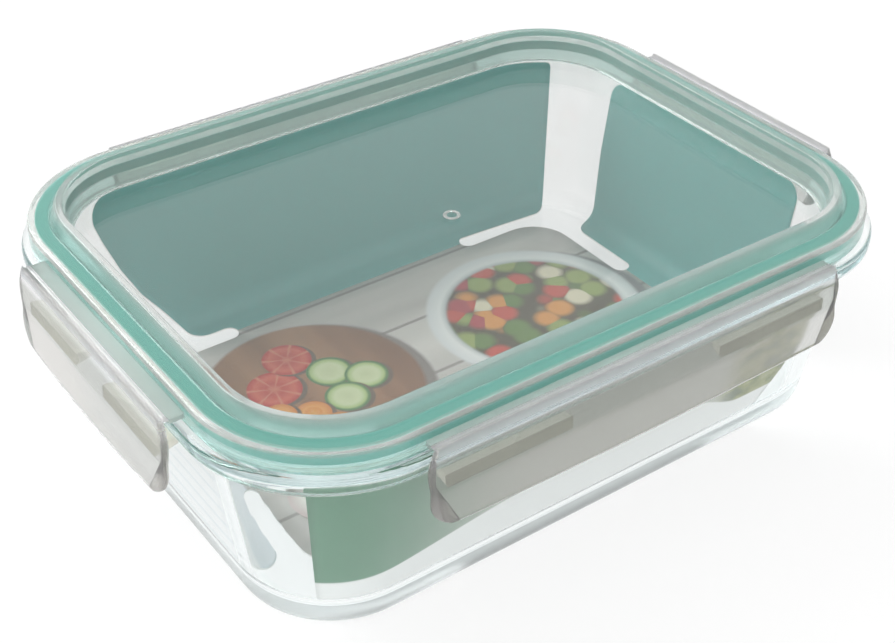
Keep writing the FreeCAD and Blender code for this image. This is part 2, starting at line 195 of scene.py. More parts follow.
def skin(name, grids, wrap=False, poles=False):
    """One mesh object from grids of points in mm, with columns that close on themselves.

    Rows join to the next row; with wrap the last row joins the first, and with poles the first and last
    rows close on a middle point.
    """
    points, quads, caps, start = [], [], [], 0
    for grid in grids:
        rows, columns = grid.shape[:2]
        index = start + np.arange(rows * columns).reshape(rows, columns)
        if wrap:
            index = np.concatenate([index, index[:1]])
        beside = np.roll(index, -1, axis=1)
        quads.append(np.stack([index[:-1], beside[:-1], beside[1:], index[1:]], 2).reshape(-1, 4))
        points.append(grid.reshape(-1, 3))
        start += rows * columns
        if poles:
            for row, middle in ((0, grid[0].mean(0)), (-1, grid[-1].mean(0))):
                fan = np.stack([index[row], beside[row], np.full(columns, start)], 1)
                caps.append(fan[:, ::-1] if row == 0 else fan)
                points.append(middle[None])
                start += 1
    faces = np.concatenate(quads).tolist() + (np.concatenate(caps).tolist() if caps else [])
    return mesh_object(name, np.concatenate(points), faces)


def slab(name, front, back):
    """A closed thin piece from two matching grids of points, joined along all four edges."""
    rows, columns = front.shape[:2]
    top = np.arange(rows * columns).reshape(rows, columns)
    under = top + rows * columns
    faces = [np.stack([side[:-1, :-1], side[:-1, 1:], side[1:, 1:], side[1:, :-1]], 2).reshape(-1, 4)
             for side in (top, under[:, ::-1])]
    for edge in (np.s_[0], np.s_[-1], np.s_[:, 0], np.s_[:, -1]):
        a, b = top[edge], under[edge]
        faces.append(np.stack([a[:-1], a[1:], b[1:], b[:-1]], 1))
    points = np.concatenate([front.reshape(-1, 3), back.reshape(-1, 3)])
    return mesh_object(name, points, np.concatenate(faces).tolist())


def face_outwards(piece, merge=None):
    """Merges doubled points, where asked, and turns every face of a closed piece outwards."""
    shell = bmesh.new()
    shell.from_mesh(piece.data)
    if merge:
        bmesh.ops.remove_doubles(shell, verts=shell.verts, dist=merge * MM)
    bmesh.ops.recalc_face_normals(shell, faces=shell.faces)
    open_edges = sum(not edge.is_manifold for edge in shell.edges)
    shell.to_mesh(piece.data)
    shell.free()
    piece.data.shade_smooth()
    print(f"{piece.name}: {len(piece.data.polygons)} faces, {open_edges} open edges")
    return piece


def face_centres(piece):
    """The middle of every face, in mm."""
    centres = np.empty(len(piece.data.polygons) * 3)
    piece.data.polygons.foreach_get("center", centres)
    return centres.reshape(-1, 3) / MM


def choose_finishes(piece, choice):
    """Gives each face one of the piece's finishes, by its number in their order."""
    piece.data.polygons.foreach_set("material_index", np.asarray(choice, np.int32))


def finish_piece(piece, body, node, slot, *materials):
    """Gives a piece its finishes and its body, and hides the CAD node it stands for; slot is not used."""
    for material in materials:
        piece.data.materials.append(material)
    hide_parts(node)
    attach(piece, body)


def add_to_lid(piece, material):
    """Gives a detail of the lid, which has no CAD node of its own, its finish and the lid's body."""
    piece.data.materials.append(material)
    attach(piece, "lid")


# %% [markdown]
# ## Shared finishes
# Two effects turn up on several pieces. Moulded and pressed surfaces are never optically flat,
# so a slow ripple bends their reflections. Handled surfaces also carry a faint haze that makes some
# patches less glossy than others. Each effect is a node group with its own inputs.

# %% Nodes and groups
def add_node(tree, kind, feeds, **settings):
    """A node with its settings and with inputs, by name or number, fed by sockets or constants; returns its outputs."""
    node = tree.nodes.new("ShaderNode" + kind)
    for label, setting in settings.items():
        setattr(node, label, setting)
    for label, feed in feeds.items():
        if isinstance(feed, bpy.types.NodeSocket):
            tree.links.new(feed, node.inputs[label])
        else:
            node.inputs[label].default_value = feed
    return node.outputs


def new_group(name, inputs, *outputs):
    """A shader group from a Position and inputs, vectors or numbers with a default, to numbers, and its two ends."""
    tree = bpy.data.node_groups.new(name, "ShaderNodeTree")
    for label, default in {"Position": None, **inputs}.items():
        kind = "NodeSocketVector" if default is None else "NodeSocketFloat"
        socket = tree.interface.new_socket(label, in_out="INPUT", socket_type=kind)
        if default is not None:
            socket.default_value = default
    for label in outputs:
        tree.interface.new_socket(label, in_out="OUTPUT", socket_type="NodeSocketFloat")
    return tree, tree.nodes.new("NodeGroupInput").outputs, tree.nodes.new("NodeGroupOutput").inputs


def group_noise(tree, given):
    """Soft noise with one octave of detail, at the group's own Position and Scale."""
    return add_node(tree, "TexNoise", {"Vector": given["Position"], "Scale": given["Scale"], "Detail": 1.0})["Fac"]


def make_ripple_group():
    """Height of a slow ripple: soft noise at the given size."""
    tree, given, result = new_group("surface_ripple", {"Scale": 30.0}, "Height")
    tree.links.new(group_noise(tree, given), result["Height"])
    return tree


def make_haze_group():
    """Roughness that drifts in soft patches: noise from 0.35 to 0.65, spread from low to high."""
    tree, given, result = new_group("handling_haze", {"Low": 0.05, "High": 0.15, "Scale": 25.0}, "Roughness")
    spread = add_node(tree, "MapRange", {
        "Value": group_noise(tree, given), "From Min": 0.35, "From Max": 0.65,
        "To Min": given["Low"], "To Max": given["High"]})
    tree.links.new(spread["Result"], result["Roughness"])
    return tree


RIPPLE = make_ripple_group()
HAZE = make_haze_group()
print("node groups:", RIPPLE.name, HAZE.name)

# %% [markdown]
# A finish is a material with one Principled shader. What is the same all over it goes onto the shader's own
# sockets; what varies is linked. These helpers make what varies: sums, soft steps, layers of colour.

# %% Values and colours
def maths(tree, operation, *feeds, clamp=False):
    """A Math node fed by sockets or numbers."""
    return add_node(tree, "Math", dict(enumerate(feeds)), operation=operation, use_clamp=clamp)["Value"]


def between(tree, feed, start, end, kind="SMOOTHSTEP"):
    """Goes from 0 to 1 as its feed goes from start to end, with soft ends unless it is LINEAR."""
    return add_node(tree, "MapRange", {"Value": feed, "From Min": start, "From Max": end},
                    interpolation_type=kind)["Result"]


def axes(tree, place):
    """A place's X, Y and Z as outputs of their own."""
    return add_node(tree, "SeparateXYZ", {"Vector": place})


def object_place(tree):
    """The place on the piece, in metres, from the material's one coordinate node."""
    where = tree.nodes.get("Texture Coordinate") or tree.nodes.new("ShaderNodeTexCoord")
    return where.outputs["Object"]


def lay_over(tree, below, mask, above):
    """Lays a colour, or another node's colour, over what is below where the mask is 1."""
    return add_node(tree, "Mix", {0: mask, 6: below, 7: above}, data_type="RGBA")[2]


def mix_shaders(tree, share, first, second, end="Material Output"):
    """Sends two shaders to the surface: the first where the share is 0, the second where it is 1."""
    mix = add_node(tree, "MixShader", {0: share, 1: first, 2: second})
    tree.links.new(mix["Shader"], tree.nodes[end].inputs["Surface"])


# %% Finishes
def place_group(tree, group, **settings):
    """Puts a group into a material, reading Object coordinates, with this finish's own values."""
    return add_node(tree, "Group", {"Position": object_place(tree), **settings}, node_tree=group)


def new_finish(name, ripple=None, haze=None, lamps=None, **sockets):
    """A material with a Principled shader; constant values go straight onto the shader's sockets.

    Where given, a ripple (scale, depth in metres) bends the normal, a haze (low, high, scale) varies the
    roughness, and light on its way to a lamp passes with a tint, so that what lies behind is lit.
    """
    material = bpy.data.materials.new(name)
    material.use_nodes = True
    tree = material.node_tree
    shader = tree.nodes["Principled BSDF"]
    for label, setting in sockets.items():
        shader.inputs[label.replace("_", " ")].default_value = setting
    if ripple:
        height = place_group(tree, RIPPLE, Scale=ripple[0])["Height"]
        bump = add_node(tree, "Bump", {"Height": height, "Distance": ripple[1], "Strength": 1.0})
        tree.links.new(bump["Normal"], shader.inputs["Normal"])
    if haze:
        rough = place_group(tree, HAZE, Low=haze[0], High=haze[1], Scale=haze[2])
        tree.links.new(rough["Roughness"], shader.inputs["Roughness"])
    if lamps:
        clear = add_node(tree, "BsdfTransparent", {"Color": lamps})["BSDF"]
        mix_shaders(tree, add_node(tree, "LightPath", {})["Is Shadow Ray"], shader.outputs["BSDF"], clear)
    return material, tree, shader


# %% [markdown]
# ## The glass tray
# The tray is pressed borosilicate glass. It is clear across its thin walls, but along the rim and the
# base the eye looks through centimetres of glass and sees a deep blue-green. A tint on the surface would
# colour everything alike, so the colour is in the volume: the longer the way through, the deeper it gets.
# The foot it stands on is finely stippled, so it scatters light where a polished one would mirror the dark.

# %% Glass
FOOT_ROUGHNESS = 0.65
FOOT_HEIGHTS = (0.0015, 0.0002)  # metres: clear above the first, fully stippled below the second


def make_glass_finish():
    """Clear glass, rougher towards its foot, that absorbs red along the way through it."""
    material, tree, shader = new_finish(
        "clear_pressed_glass", ripple=(28.0, 0.00012), lamps=(0.98, 0.99, 0.99, 1),
        Base_Color=(0.985, 0.997, 0.995, 1), Roughness=0.0, IOR=1.47, Transmission_Weight=1.0)
    foot = between(tree, axes(tree, object_place(tree))["Z"], *FOOT_HEIGHTS, kind="LINEAR")
    tree.links.new(maths(tree, "MULTIPLY", foot, FOOT_ROUGHNESS), shader.inputs["Roughness"])
    depth = add_node(tree, "VolumeAbsorption", {"Color": (0.20, 0.62, 0.63, 1), "Density": 4.5})
    tree.links.new(depth["Volume"], tree.nodes["Material Output"].inputs["Volume"])
    return material


GLASS = make_glass_finish()
# From the middle of the inner floor up the wall, over the lip and the flange, and down to the foot.
glass_section = rounded_line([
    (30.0, 5.0, 0), (17.6, 5.0, 11.0), (9.4, 65.0, 1.0), (5.2, 65.0, 1.0), (5.2, 63.0, 0.5), (0.0, 63.0, 1.8),
    (0.0, 58.0, 1.8), (5.2, 58.0, 1.2), (13.6, 0.0, 7.0), (24.0, 0.0, 0),
], steps=10)
glass_rows = np.concatenate([
    disc_grid(30.0, 5.0, 6), ring_grid(glass_section)[1:-1], disc_grid(24.0, 0.0, 6)[::-1]])
glass = face_outwards(skin("glass", [glass_rows], poles=True))
finish_piece(glass, "tray", "glass_tray", "clear_glass", GLASS)

# %% [markdown]
# ## The lid
# The lid is one moulding: a clear centre panel, a raised stacking rib around it, a shoulder over the
# seal and a skirt down to the glass rim. One closed section describes all of it, so it is carried around
# the outline once and closed in the middle, top and bottom. The thin centre is clear, the thick ring around
# it is milky, its outer edge is painted paler as a painted highlight where the rounded edge catches the
# light, and the skirt takes up the seal's colour. So the faces get four finishes by their distance from
# the rim and their height.
#
# The seal also shows through the milky ring. A node group finds where: over the seal, the ring's tint
# goes over into the seal's colour.

# %% Lid finishes
PLASTIC_IOR = 1.46
SEAL_MIDDLE = 7.0  # inset of the seal's middle line, mm
GLOW_FADE = (0.0050, 0.0028)  # metres from that line: no glow beyond the first, all of it within the second
LEAVING_TINT = (0.96, 0.97, 0.96, 1)


def make_glow_group():
    """How far a point lies over the seal: 1 above it, fading to 0 about two millimetres beyond each side.

    The point's inset from the rim is the corner radius less its distance from the outline's core.
    """
    tree, given, result = new_group("seal_glow", {}, "Glow")
    place = axes(tree, given["Position"])
    squares = []
    for axis, half in zip("XY", CORE_HALF.tolist()):
        away = maths(tree, "SUBTRACT", maths(tree, "ABSOLUTE", place[axis]), half * MM)
        away = maths(tree, "MAXIMUM", away, 0.0)
        squares.append(maths(tree, "MULTIPLY", away, away))
    inset = maths(tree, "SUBTRACT", RIM_CORNER * MM, maths(tree, "SQRT", maths(tree, "ADD", *squares)))
    off_middle = maths(tree, "ABSOLUTE", maths(tree, "SUBTRACT", inset, SEAL_MIDDLE * MM))
    tree.links.new(between(tree, off_middle, *GLOW_FADE), result["Glow"])
    return tree


GLOW = make_glow_group()


def new_lid_finish(name, clear, colour, over_seal=None):
    """The lid's thicker plastic, hazy; clear is how much of the light goes through.

    Its colour goes over into another above the seal, where that is given. Otherwise light takes the
    colour on where it enters, and hardly any where it leaves.
    """
    material, tree, shader = new_finish(
        name, haze=(0.14, 0.22, 30.0), lamps=(0.92, 0.92, 0.92, 1), IOR=PLASTIC_IOR, Transmission_Weight=clear)
    if over_seal:
        tint = lay_over(tree, colour, place_group(tree, GLOW)["Glow"], over_seal)
    else:
        tint = lay_over(tree, colour, add_node(tree, "NewGeometry", {})["Backfacing"], LEAVING_TINT)
    tree.links.new(tint, shader.inputs["Base Color"])
    return material


LID_PANEL = new_finish(
    "clear_lid_panel", ripple=(16.0, 0.00010), lamps=(0.95, 0.95, 0.95, 1), IOR=PLASTIC_IOR,
    Base_Color=(0.82, 0.82, 0.815, 1), Roughness=0.0, Transmission_Weight=0.98)[0]
LID_RIM = new_lid_finish("milky_lid_rim", 0.74, (0.66, 0.68, 0.66, 1), over_seal=(0.31, 0.58, 0.52, 1))
# The edge's pale colour is a painted highlight: the rounded outer edge of the shoulder catching the light.
LID_EDGE_HIGHLIGHT = new_lid_finish("lid_edge_painted_highlight", 0.82, (0.70, 0.72, 0.69, 1))
LID_LEDGE = new_lid_finish("cloudy_lid_ledge", 0.5, (0.40, 0.47, 0.44, 1))
LID_SKIRT = new_lid_finish("clear_lid_skirt", 0.85, (0.44, 0.77, 0.70, 1))
print("lid finishes:", LID_PANEL.name, LID_RIM.name, LID_EDGE_HIGHLIGHT.name, LID_LEDGE.name, LID_SKIRT.name)

# %% Lid
PANEL_INSET, RIM_INSET, EDGE_HEIGHT = 15.2, 5.0, 68.9
SKIRT_INSET = 2.6
# From the panel's top over the rib and the shoulder, down the skirt, through the channel and under the panel.
lid_section = rounded_line([
    (20.0, 63.4, 0), (15.0, 63.4, 0.8), (13.3, 73.7, 0.7), (11.2, 73.7, 0.7), (8.6, 70.0, 0.8),
    (RIM_INSET, 70.02, 0), (SKIRT_INSET, 70.0, 1.2), (SKIRT_INSET, 63.4, 0.3), (4.6, 63.4, 0.3), (4.6, 68.8, 0.3),
    (10.0, 68.8, 0.3), (10.6, 61.6, 0.8), (20.0, 61.6, 0),
])
lid_rows = np.concatenate([disc_grid(20.0, 63.4, 8), ring_grid(lid_section)[1:-1], disc_grid(20.0, 61.6, 8)[::-1]])
lid = face_outwards(skin("lid_moulding", [lid_rows], poles=True))
centres = face_centres(lid)
beyond_core = np.maximum(np.abs(centres[:, :2]) - CORE_HALF, 0)
inset = RIM_CORNER - np.linalg.norm(beyond_core, axis=1)
choose_finishes(lid, np.select([inset > PANEL_INSET, inset > RIM_INSET, centres[:, 2] > EDGE_HEIGHT], [0, 1, 2], 3))
finish_piece(lid, "lid", "lid", "lid_plastic", LID_PANEL, LID_RIM, LID_EDGE_HIGHLIGHT, LID_SKIRT)

# %% [markdown]
# The plastic enters the mould at the middle of the panel and leaves a small ring there.

# %% Gate mark
gate_section = rounded_line([(1.5, 63.38, 0.05), (2.7, 63.38, 0.05), (2.5, 63.75, 0.15), (1.8, 63.75, 0.15)],
                            closed=True, steps=4)
gate = face_outwards(skin("gate_mark", [spin(gate_section, 48)], wrap=True))
add_to_lid(gate, LID_RIM)

# %% [markdown]
# ## The seal
# A solid ring of teal silicone sits in the lid's channel. Silicone is soft and slightly
# satin, with a little light travelling under its skin.

# %% Seal
SEAL = new_finish("teal_silicone", haze=(0.35, 0.5, 60.0), Base_Color=(0.002, 0.35, 0.305, 1),
                  Subsurface_Weight=0.15, Subsurface_Scale=0.002)[0]
seal_section = rounded_line([(4.8, 65.1, 0.8), (9.8, 65.1, 0.8), (9.8, 68.75, 0.4), (4.8, 68.75, 0.4)], closed=True)
seal = face_outwards(skin("seal", [ring_grid(seal_section)], wrap=True))
finish_piece(seal, "lid", "seal_ring", "seal_silicone", SEAL)

# %% [markdown]
# ## Locking flaps
# Each flap hangs on a thin web of the lid's own plastic. Its plate leans out to a fold line, then flares
# into a finger lip. The section is drawn around the hinge line and stretched along it, by a half length that
# changes with the height. At each end the two faces close on the middle of the plate.

# %% Flap shape
FLAP_DROP, FOLD_DROP = 23.5, 13.0
# Both faces from the hinge down to the lip, as (outwards, up, corner radius) about the hinge line.
FLAP_INNER = [(0.6, 0.25, 0.1), (0.6, -0.6, 0.3), (1.4, -FOLD_DROP, 1.5), (4.0, -FLAP_DROP, 0.7)]
FLAP_OUTER = [(2.08, 1.2, 0.5), (2.4, 0.0, 1.6), (3.1, -FOLD_DROP, 1.2), (5.5, -FLAP_DROP, 0.7)]
POINT_SPACING = 0.5
FLAP_TAPER, TAPER_DROP = 2.5, 8.0
FOLD_DRAW, FOLD_SPREAD = 0.6, 3.5
LIP_CORNER, LIP_BOW = 8.5, 1.5
END_RADIUS = 0.7


def flap_section():
    """The flap's section about its hinge line, (outwards, up), with points on its long stretches too."""
    line = rounded_line(FLAP_INNER + FLAP_OUTER[::-1], closed=True)
    step = np.roll(line, -1, axis=0) - line
    cuts = np.maximum(np.ceil(np.linalg.norm(step, axis=1) / POINT_SPACING).astype(int), 1)
    start = np.repeat(np.arange(len(line)), cuts)
    share = (np.arange(cuts.sum()) - np.repeat(np.cumsum(cuts) - cuts, cuts)) / cuts[start]
    return line[start] + share[:, None] * step[start]


def flap_grid(length):
    """The flap about its hinge line as (along, outwards, up): the section's points times their own half length.

    From half the length come off the square of the taper near the hinge, a soft hollow at the fold, and at
    the lip what a circle of the corner's radius leaves out. The ends close over a quarter turn.
    """
    out, up = flap_section().T
    inner, outer = (np.interp(-up, -face[:, 1], face[:, 0]) for face in (np.array(FLAP_INNER), np.array(FLAP_OUTER)))
    middle = np.clip((inner + outer) / 2, out.min(), out.max())
    half = length / 2 - FLAP_TAPER * np.clip(1 + up / TAPER_DROP, 0, 1) ** 2
    half = half - FOLD_DRAW * np.exp(-((up + FOLD_DROP) / FOLD_SPREAD) ** 2)
    low = np.clip(LIP_CORNER - (up + FLAP_DROP), 0, LIP_CORNER)
    half = half - LIP_CORNER + np.sqrt(LIP_CORNER ** 2 - low ** 2)
    share = np.concatenate([np.linspace(0, 1, 20)[1:-1], np.ones(6)])
    turn = np.concatenate([np.zeros(18), np.linspace(0, np.pi / 2, 6)])
    share, turn = (np.concatenate([-right[::-1], [0], right]) for right in (share, turn))
    push, width = END_RADIUS * np.sin(turn), np.cos(turn)
    x = share[:, None] * (half - END_RADIUS) + push[:, None]
    lip = np.clip((-up - FOLD_DROP) / (FLAP_DROP - FOLD_DROP), 0, 1)
    bow = LIP_BOW * (2 * x / (length + 2 * LIP_BOW)) ** 2 * lip
    y = middle + width[:, None] * (out - middle) - bow
    return np.stack([x, y, np.broadcast_to(up, x.shape)], 2)


print("a flap's grid:", flap_grid(100.0).shape)

# %% [markdown]
# The plate is cloudy. Its lip is painted lighter, as light falling on it from above, and the plate above the
# fold darker, as painted shade. Its shoulder, next to the hinge, is pale, and rougher where the mould was
# textured. The hooks are painted cream and nearly opaque, a painted highlight for the light that their thicker
# plastic gathers, so they show through the plate as pale bars.

# %% Flap finishes
LIP_TOP, SHOULDER, HINGE_ZONE = (0.0520, 0.0550), (0.0610, 0.0640), (0.0640, 0.0658)  # heights in metres
HINGE_ROUGHER = 0.3


def make_flap_finish():
    """Cloudy plastic in three tints by height: a lip painted lighter as lit from above, a plate painted darker as
    shade, and a pale shoulder.
    """
    material, tree, shader = new_finish(
        "cloudy_flap_plastic", haze=(0.08, 0.12, 22.0), lamps=(0.96, 0.96, 0.94, 1), IOR=PLASTIC_IOR,
        Transmission_Weight=0.90)
    haze = shader.inputs["Roughness"].links[0].from_socket
    height = axes(tree, object_place(tree))["Z"]
    # Painted light and shade: the lip lighter as lit from above, the plate above the fold darker as shade.
    tint = lay_over(tree, (0.72, 0.71, 0.69, 1), between(tree, height, *LIP_TOP), (0.58, 0.59, 0.56, 1))
    tint = lay_over(tree, tint, between(tree, height, *SHOULDER), (0.84, 0.84, 0.86, 1))
    rough = maths(tree, "MULTIPLY_ADD", between(tree, height, *HINGE_ZONE), HINGE_ROUGHER, haze)
    tree.links.new(tint, shader.inputs["Base Color"])
    tree.links.new(rough, shader.inputs["Roughness"])
    return material


FLAP = make_flap_finish()
# The hooks' cream colour is a painted highlight: it stands in for the light that their thicker plastic gathers.
HOOK_PAINTED_HIGHLIGHT = new_finish("hook_plastic_painted_highlight", haze=(0.2, 0.3, 22.0), lamps=(0.9, 0.9, 0.88, 1), IOR=PLASTIC_IOR,
                  Base_Color=(0.90, 0.885, 0.80, 1), Transmission_Weight=0.15)[0]
print("flap finishes:", FLAP.name, HOOK_PAINTED_HIGHLIGHT.name)

# %% [markdown]
# All four flaps are drawn the same way and brought to their sides by quarter turns. With each come two hooks,
# the film it swings on and the ledge for the film.

# %% Flaps
HINGE_HEIGHT = 66.5
HOOK_REACH = 2.2
FILM_HALF, FILM_THICK, FILM_NECK = 0.6, 0.25, 0.10
# The hinge line's and the rim's distance from the middle, the length, and one hook's ends along it.
LONG_FLAP = (87.05, RIM_HALF[1], 143.0, (26.0, 66.0))
SHORT_FLAP = (116.3, RIM_HALF[0], 88.0, (8.0, 38.0))
# Each side, the quarter turns to it from the back, and its sizes.
FLAPS = (("front", 2, *LONG_FLAP), ("back", 0, *LONG_FLAP), ("left", 1, *SHORT_FLAP), ("right", 3, *SHORT_FLAP))


def quarter_turned(points, turns):
    """Points turned about +Z by quarter turns."""
    x, y, z = np.moveaxis(points, -1, 0)
    c, s = ((1, 0), (0, 1), (-1, 0), (0, -1))[turns]
    return np.stack([c * x - s * y, s * x + c * y, z], -1)


def hang(points, out, turns):
    """Points about a hinge line, moved out to that line and turned to their side."""
    return quarter_turned(points + np.array([0, out, HINGE_HEIGHT]), turns)


def bar_grid(section, along, size):
    """A closed bar: its section at places along the flap, scaled about its middle by each place's size."""
    middle = section.mean(0)
    shape = middle + np.array(size)[:, None, None] * (section - middle)
    x = np.broadcast_to(np.array(along)[:, None, None], shape.shape[:2] + (1,))
    return np.concatenate([x, shape], 2)


def hook_grid(start, end, reach):
    """One hook as a closed bar: its section, root to tip, held between two places along the flap."""
    section = rounded_line([(1.3, -8.8, 0.3), (-reach, -9.3, 0.3), (-reach, -11.3, 0.6), (1.5, -FOLD_DROP, 0.3)],
                           closed=True)
    return bar_grid(section, (start, start + 0.15, start + 0.5, end - 0.5, end - 0.15, end),
                    (0.6, 0.9, 1.0, 1.0, 0.9, 0.6))


def make_flap(side, turns, out, rim, length, hook):
    """The plate and its two hooks as one piece; faces inwards of the plate are the hooks'."""
    reach = HOOK_REACH + out - rim
    start, end = hook
    grids = [flap_grid(length), hook_grid(start, end, reach), hook_grid(-end, -start, reach)]
    flap = skin(f"flap_plate_{side}", [hang(grid, out, turns) for grid in grids], poles=True)
    face_outwards(flap, merge=0.002)
    outward = quarter_turned(np.array([0, 1.0, 0]), turns)
    choose_finishes(flap, face_centres(flap) @ outward - out < 0.5)
    finish_piece(flap, f"flap_{side}", f"flap_{side}", "flap_plastic", FLAP, HOOK_PAINTED_HIGHLIGHT)


def make_film(side, turns, out, length):
    """The thin web of the hinge between lid and flap, cut across its width."""
    along = np.linspace(-0.5, 0.5, 24) * (length - 2 * FLAP_TAPER)
    across = np.linspace(-FILM_HALF, FILM_HALF, 9)
    x, y = np.meshgrid(along, across, indexing="ij")
    thin = FILM_THICK - FILM_NECK * np.cos(np.pi * y / (2 * FILM_HALF)) ** 2
    faces = [hang(np.stack([x, y, sign * thin], 2), out, turns) for sign in (1, -1)]
    film = face_outwards(slab(f"film_{side}", *faces))
    film.data.materials.append(FLAP)
    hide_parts(f"hinge_film_{side}")
    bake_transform(film)


def make_ledge(side, turns, out, rim, length):
    """The lid's ledge that carries the film: a bar from the skirt to the film's inner edge."""
    root = rim - SKIRT_INSET - out - 0.02
    section = rounded_line([(root, -1.35, 0.1), (-FILM_HALF, -1.35, 0.4), (-FILM_HALF, 0.25, 0.15),
                            (root, 0.25, 0.1)], closed=True, steps=4)
    half = length / 2 - FLAP_TAPER
    bar = bar_grid(section, (-half, -half + 0.2, half - 0.2, half), (0.8, 1, 1, 0.8))
    ledge = face_outwards(skin(f"lid_ledge_{side}", [hang(bar, out, turns)], poles=True))
    add_to_lid(ledge, LID_LEDGE)


for side, turns, out, rim, length, hook in FLAPS:
    make_flap(side, turns, out, rim, length, hook)
    make_film(side, turns, out, length)
    make_ledge(side, turns, out, rim, length)

# %% [markdown]
# ## The card insert
# The card is one sheet of printed board, folded up around a floor panel. The walls lean on the glass and
# turn a little way into the corners, with slots where the folds end. A wall is a grid of height by
# width: the height follows the bent section, and the half width changes with the height, which draws the
# narrow crease, the slot and the rounded corners. Each wall has three finishes, for its inside, its outside
# and its cut edges.

# %% Card walls
CARD_THICK, CARD_HEIGHT, CARD_TOP = 0.5, 54.2, 59.2
GLASS_FLOOR = 5.0
CREASE_INSET, FOOT_INSET, BEND_RADIUS = 30.4, 17.9, 12.5
WALL_LEAN = 8.2 / 60.0
WALL_LENGTH = 64.2  # from the crease around the bend to the top edge
WALL_COLUMNS = 70
CORNER_PATH = 28.0  # radius at which a distance along a wall is measured around the corner
SLOT, LOW_ROUND, TOP_STRETCH = 3.2, 6.0, 12.0


def card_section(thick, share):
    """Insets and heights of a card wall at shares of its length, from its crease up to its top edge."""
    foot, floor = FOOT_INSET + thick, GLASS_FLOOR + thick
    line = rounded_line([(CREASE_INSET, floor, 0), (foot, floor, BEND_RADIUS - thick),
                         (foot - WALL_LEAN * CARD_HEIGHT, CARD_TOP, 0)], steps=16)
    along = np.concatenate([[0], np.cumsum(np.linalg.norm(np.diff(line, axis=0), axis=1))])
    return [np.interp(share * along[-1], along, column) for column in line.T]


def wall_path(along, core_half, inset):
    """A point at a distance along a wall: straight over the core's side, then around the corner."""
    past = np.sign(along) * np.maximum(np.abs(along) - core_half, 0)
    angle = past / CORNER_PATH
    out = RIM_CORNER - inset
    return np.clip(along, -core_half, core_half) + out * np.sin(angle), out * np.cos(angle)


def card_wall(side, turns, core_along, core_out, crease, ends, *materials):
    """One wall: ends gives, for each end, (heights, distances) up its face and the radius of its top corner."""
    quarter = np.linspace(0, np.pi / 2, 10)
    travel = np.concatenate([
        SLOT * np.sin(quarter), SLOT + 0.05 + LOW_ROUND * (1 - np.cos(quarter)),
        np.linspace(SLOT + LOW_ROUND, WALL_LENGTH - TOP_STRETCH, 26)[1:],
        WALL_LENGTH - TOP_STRETCH + TOP_STRETCH * np.sin(quarter[1:]),
    ])
    faces = [card_section(thick, travel / WALL_LENGTH) for thick in (0.0, CARD_THICK)]
    outer_height = faces[0][1]
    low = np.clip(1 - (travel - SLOT) / LOW_ROUND, 0, 1)
    slot_end = crease - np.sqrt(np.clip(SLOT ** 2 - travel ** 2, 0, None))
    reach = []
    for heights, distances, top_round in ends:
        high = np.clip((travel - WALL_LENGTH + top_round) / top_round, 0, 1)
        rounding = LOW_ROUND * (1 - np.sqrt(1 - low ** 2)) + top_round * (1 - np.sqrt(1 - high ** 2))
        reach.append(np.where(travel <= SLOT, slot_end, np.interp(outer_height, heights, distances) - rounding))
    share = np.linspace(0, 1, WALL_COLUMNS + 1)[None]
    along = -reach[0][:, None] * (1 - share) + reach[1][:, None] * share
    sides = []
    for inset, height in faces:
        x, y = wall_path(along, core_along, inset[:, None])
        sides.append(quarter_turned(raised(np.stack([x, y + core_out], 2), height), turns))
    wall = slab(f"card_{side}_wall", *sides)
    count = (len(travel) - 1) * WALL_COLUMNS
    choice = np.full(len(wall.data.polygons), 2)
    choice[:count], choice[count:2 * count] = 1, 0
    choose_finishes(wall, choice)
    face_outwards(wall)
    finish_piece(wall, "card", f"card_{side}", "printed_card", *materials)


# %% Card floor
CREASE_X, CREASE_Y = 83.6, 56.35
LONG_CREASE, SHORT_CREASE = 49.0, 13.0  # half lengths
FLOOR_CORNER = 14.0
FLOOR_TOP, FLOOR_UNDER, PRINT_ABOVE = 5.5, 5.03, 5.4


def card_floor_outline():
    """The floor panel: a rounded rectangle that steps out to full width along its four creases."""
    turn = np.linspace(0, np.pi / 2, 6)
    short_end, long_end = (
        np.stack([x - SLOT * np.sin(turn), y - SLOT * np.cos(turn), np.full(6, 0.2)], 1).tolist()
        for x, y in ((CREASE_X, SHORT_CREASE), (LONG_CREASE, CREASE_Y)))
    quarter = [*short_end, (CREASE_X - SLOT, CREASE_Y - SLOT, FLOOR_CORNER), *long_end]
    corners = []
    for sx, sy in ((1, 1), (-1, 1), (-1, -1), (1, -1)):
        turned = [(sx * x, sy * y, radius) for x, y, radius in quarter]
        corners += turned if sx == sy else turned[::-1]
    return rounded_line(corners, closed=True, steps=8)


def card_floor(*materials):
    """The floor panel, printed above and bare below."""
    flat = filled(card_floor_outline(), 8)
    rows = np.concatenate([raised(flat, FLOOR_TOP), raised(flat[::-1], FLOOR_UNDER)])
    floor = face_outwards(skin("card_floor_panel", [rows], poles=True))
    choose_finishes(floor, face_centres(floor)[:, 2] < PRINT_ABOVE)
    finish_piece(floor, "card", "card_floor", "printed_card", *materials)


# %% [markdown]
# ## The printed floor
# The card's floor carries a plain kitchen scene: pale planks, a round board with sliced vegetables and a
# bowl of salad. A node group answers how far a point is from the middle of a disc, and each slice is a
# colour ramp over that distance, laid over what is below it.

# %% Print tools
def new_print(name, draw):
    """A matt-varnished print with a fine grain, in the ink that a function draws in its nodes."""
    material, tree, shader = new_finish(name, haze=(0.38, 0.5, 120.0), Specular_IOR_Level=0.4)
    tree.links.new(draw(tree), shader.inputs["Base Color"])
    return material


def plain_ink(colour, drift):
    """Draws an ink that drifts a little between two colours."""
    return lambda tree: lay_over(tree, colour, place_group(tree, RIPPLE, Scale=9.0)["Height"], drift)


